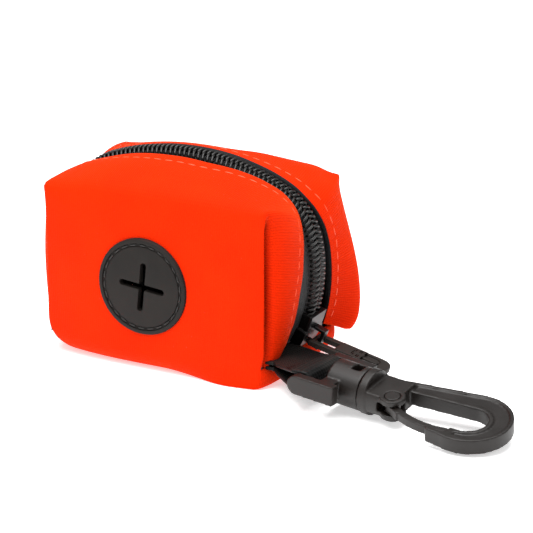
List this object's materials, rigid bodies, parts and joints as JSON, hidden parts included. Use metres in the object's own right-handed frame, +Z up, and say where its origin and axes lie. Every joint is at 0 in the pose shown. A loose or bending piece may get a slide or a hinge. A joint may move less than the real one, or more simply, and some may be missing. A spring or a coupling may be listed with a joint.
{
  "type": "zippered dispenser pouch",
  "caption": "Boxy neoprene pouch with a crossed rubber outlet, a coil zip over its crown and a swivel hook on a short webbing loop.",
  "frame": {"origin": "middle of the pouch's underside, on the surface it stands on", "axes": "+X along the pouch towards the hook, -Y towards the rubber outlet, +Z up"},
  "size_m": [0.1583, 0.0682, 0.0616],
  "materials": {
    "orange_neoprene": "ribbed knit face on foam",
    "black_rubber": "matte moulded",
    "black_thread": "spun thread",
    "orange_thread": "spun thread",
    "zip_tape": "close woven tape",
    "zip_coil": "semi-gloss monofilament",
    "black_metal": "gloss enamel",
    "grey_metal": "matte coated",
    "black_webbing": "coarse plain weave",
    "charcoal_plastic": "satin moulded"
  },
  "bodies": {
    "pouch": {"neoprene_shell": "orange_neoprene", "outlet_disc": "black_rubber", "outlet_stitching": "black_thread", "zip_tape_front": "zip_tape", "zip_tape_back": "zip_tape", "zip_coil_front": "zip_coil", "zip_coil_back": "zip_coil", "topstitching_front": "orange_thread", "topstitching_back": "orange_thread", "zip_top_stops": "black_metal", "zip_bottom_stop": "black_metal", "end_seam_thread_right": "black_thread", "end_seam_thread_left": "black_thread", "webbing_loop": "black_webbing"},
    "slider": {"slider_body": "black_metal", "slider_bail": "black_metal"},
    "pull_tab": {"pull_tab": "grey_metal"},
    "strap_frame": {"strap_frame": "charcoal_plastic"},
    "hook": {"swivel_hook": "charcoal_plastic"},
    "gate": {"hook_gate": "charcoal_plastic"}
  },
  "joints": [
    {"name": "zip_slide", "type": "hinge", "parent": "pouch", "child": "slider", "pos_m": [-0.0023, 0, 0.03], "axis": [0, -1, 0], "range_deg": [0, 32], "deforming": ["zip_coil_front", "zip_coil_back"]},
    {"name": "tab_flip", "type": "hinge", "parent": "slider", "child": "pull_tab", "pos_m": [0.04109, 0, 0.00878], "axis": [0, -1, 0], "range_deg": [-10, 78]},
    {"name": "frame_swing", "type": "hinge", "parent": "pouch", "child": "strap_frame", "pos_m": [0.05352, -0.02363, 0.00843], "axis": [-0.1392, -0.9903, 0], "range_deg": [-5, 90]},
    {"name": "hook_swivel", "type": "hinge", "parent": "strap_frame", "child": "hook", "pos_m": [0.0718, -0.0262, 0.0072], "axis": [0.9881, -0.1389, -0.0663], "continuous": true},
    {"name": "gate_press", "type": "hinge", "parent": "hook", "child": "gate", "pos_m": [0.07994, -0.03043, 0.00609], "axis": [0.0405, -0.181, 0.9826], "range_deg": [0, 25], "stiffness_Nm_per_rad": 0.06, "springref_deg": -34.38}
  ]
}
